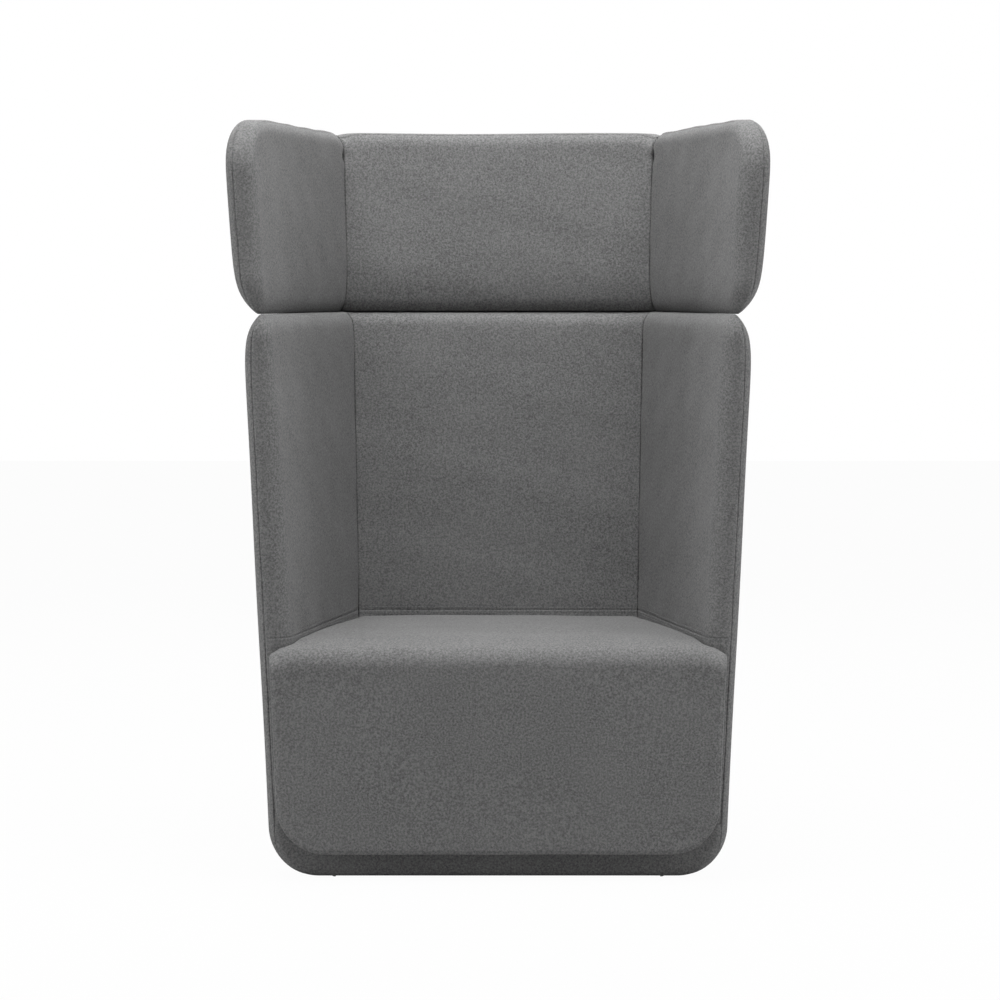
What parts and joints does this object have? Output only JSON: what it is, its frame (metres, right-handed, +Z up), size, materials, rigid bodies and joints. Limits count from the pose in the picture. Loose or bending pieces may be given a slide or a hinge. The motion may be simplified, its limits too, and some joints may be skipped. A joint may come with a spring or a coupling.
{
  "type": "acoustic high back lounge chair",
  "caption": "Upholstered lounge chair with a wrap-around high back, splayed side walls, a separate winged headrest, a box seat and low levelling glides.",
  "frame": {"origin": "on the floor, in the middle of the chair's footprint", "axes": "+X to the right of someone looking at the chair's front, +Y from the front to the back, +Z up"},
  "size_m": [0.9468, 0.8394, 1.33],
  "materials": {
    "grey_felt": "mottled mid grey woollen felt",
    "lining_cloth": "black non-woven cloth",
    "foam": "pale cut foam",
    "webbing": "elastic webbing",
    "plywood": "plywood, unfinished",
    "solid_wood": "sawn softwood",
    "zinc_steel": "zinc-plated steel",
    "bright_steel": "bright turned steel",
    "black_plastic": "black nylon"
  },
  "bodies": {
    "shell": {"base_board": "plywood", "base_bearers": "solid_wood", "left_base_rail": "solid_wood", "right_base_rail": "solid_wood", "base_foam": "foam", "glide_inserts": "zinc_steel", "left_side_panel": "plywood", "right_side_panel": "plywood", "corner_panels": "plywood", "back_panel": "plywood", "inner_back_panel": "plywood", "top_rail": "solid_wood", "back_ribs": "plywood", "back_screws": "zinc_steel", "pin_sockets": "bright_steel", "left_side_foam": "foam", "right_side_foam": "foam", "back_foam": "foam", "outer_back_foam": "foam", "inner_cover_left": "grey_felt", "inner_cover_back": "grey_felt", "inner_cover_right": "grey_felt", "outer_cover": "grey_felt", "bottom_cloth": "lining_cloth", "seat_front_board": "plywood", "seat_left_board": "plywood", "seat_right_board": "plywood", "seat_back_board": "plywood", "seat_bolts": "zinc_steel", "seat_tee_nuts": "zinc_steel", "seat_corner_blocks": "solid_wood", "seat_webbing": "webbing", "seat_foam": "foam", "seat_front_foam": "foam", "seat_cover": "grey_felt"},
    "headrest": {"headrest_left_panel": "plywood", "headrest_right_panel": "plywood", "headrest_corner_panels": "plywood", "headrest_back_panel": "plywood", "headrest_inner_panel": "plywood", "headrest_bottom_rail": "solid_wood", "headrest_top_rail": "solid_wood", "headrest_pins": "bright_steel", "headrest_screws": "zinc_steel", "headrest_left_foam": "foam", "headrest_right_foam": "foam", "headrest_back_foam": "foam", "headrest_outer_foam": "foam", "headrest_inner_cover_left": "grey_felt", "headrest_inner_cover_back": "grey_felt", "headrest_inner_cover_right": "grey_felt", "headrest_outer_cover": "grey_felt"},
    "glide_front_left": {"glide_stem_front_left": "zinc_steel", "glide_foot_front_left": "black_plastic"},
    "glide_front_right": {"glide_stem_front_right": "zinc_steel", "glide_foot_front_right": "black_plastic"},
    "glide_back_left": {"glide_stem_back_left": "zinc_steel", "glide_foot_back_left": "black_plastic"},
    "glide_back_right": {"glide_stem_back_right": "zinc_steel", "glide_foot_back_right": "black_plastic"}
  },
  "joints": [
    {"name": "headrest_lift", "type": "slide", "parent": "shell", "child": "headrest", "axis": [0, 0, 1], "range_m": [0, 0.16]},
    {"name": "glide_front_left_height", "type": "slide", "parent": "shell", "child": "glide_front_left", "axis": [0, 0, 1], "range_m": [-0.01, 0]},
    {"name": "glide_front_right_height", "type": "slide", "parent": "shell", "child": "glide_front_right", "axis": [0, 0, 1], "range_m": [-0.01, 0]},
    {"name": "glide_back_left_height", "type": "slide", "parent": "shell", "child": "glide_back_left", "axis": [0, 0, 1], "range_m": [-0.01, 0]},
    {"name": "glide_back_right_height", "type": "slide", "parent": "shell", "child": "glide_back_right", "axis": [0, 0, 1], "range_m": [-0.01, 0]}
  ]
}
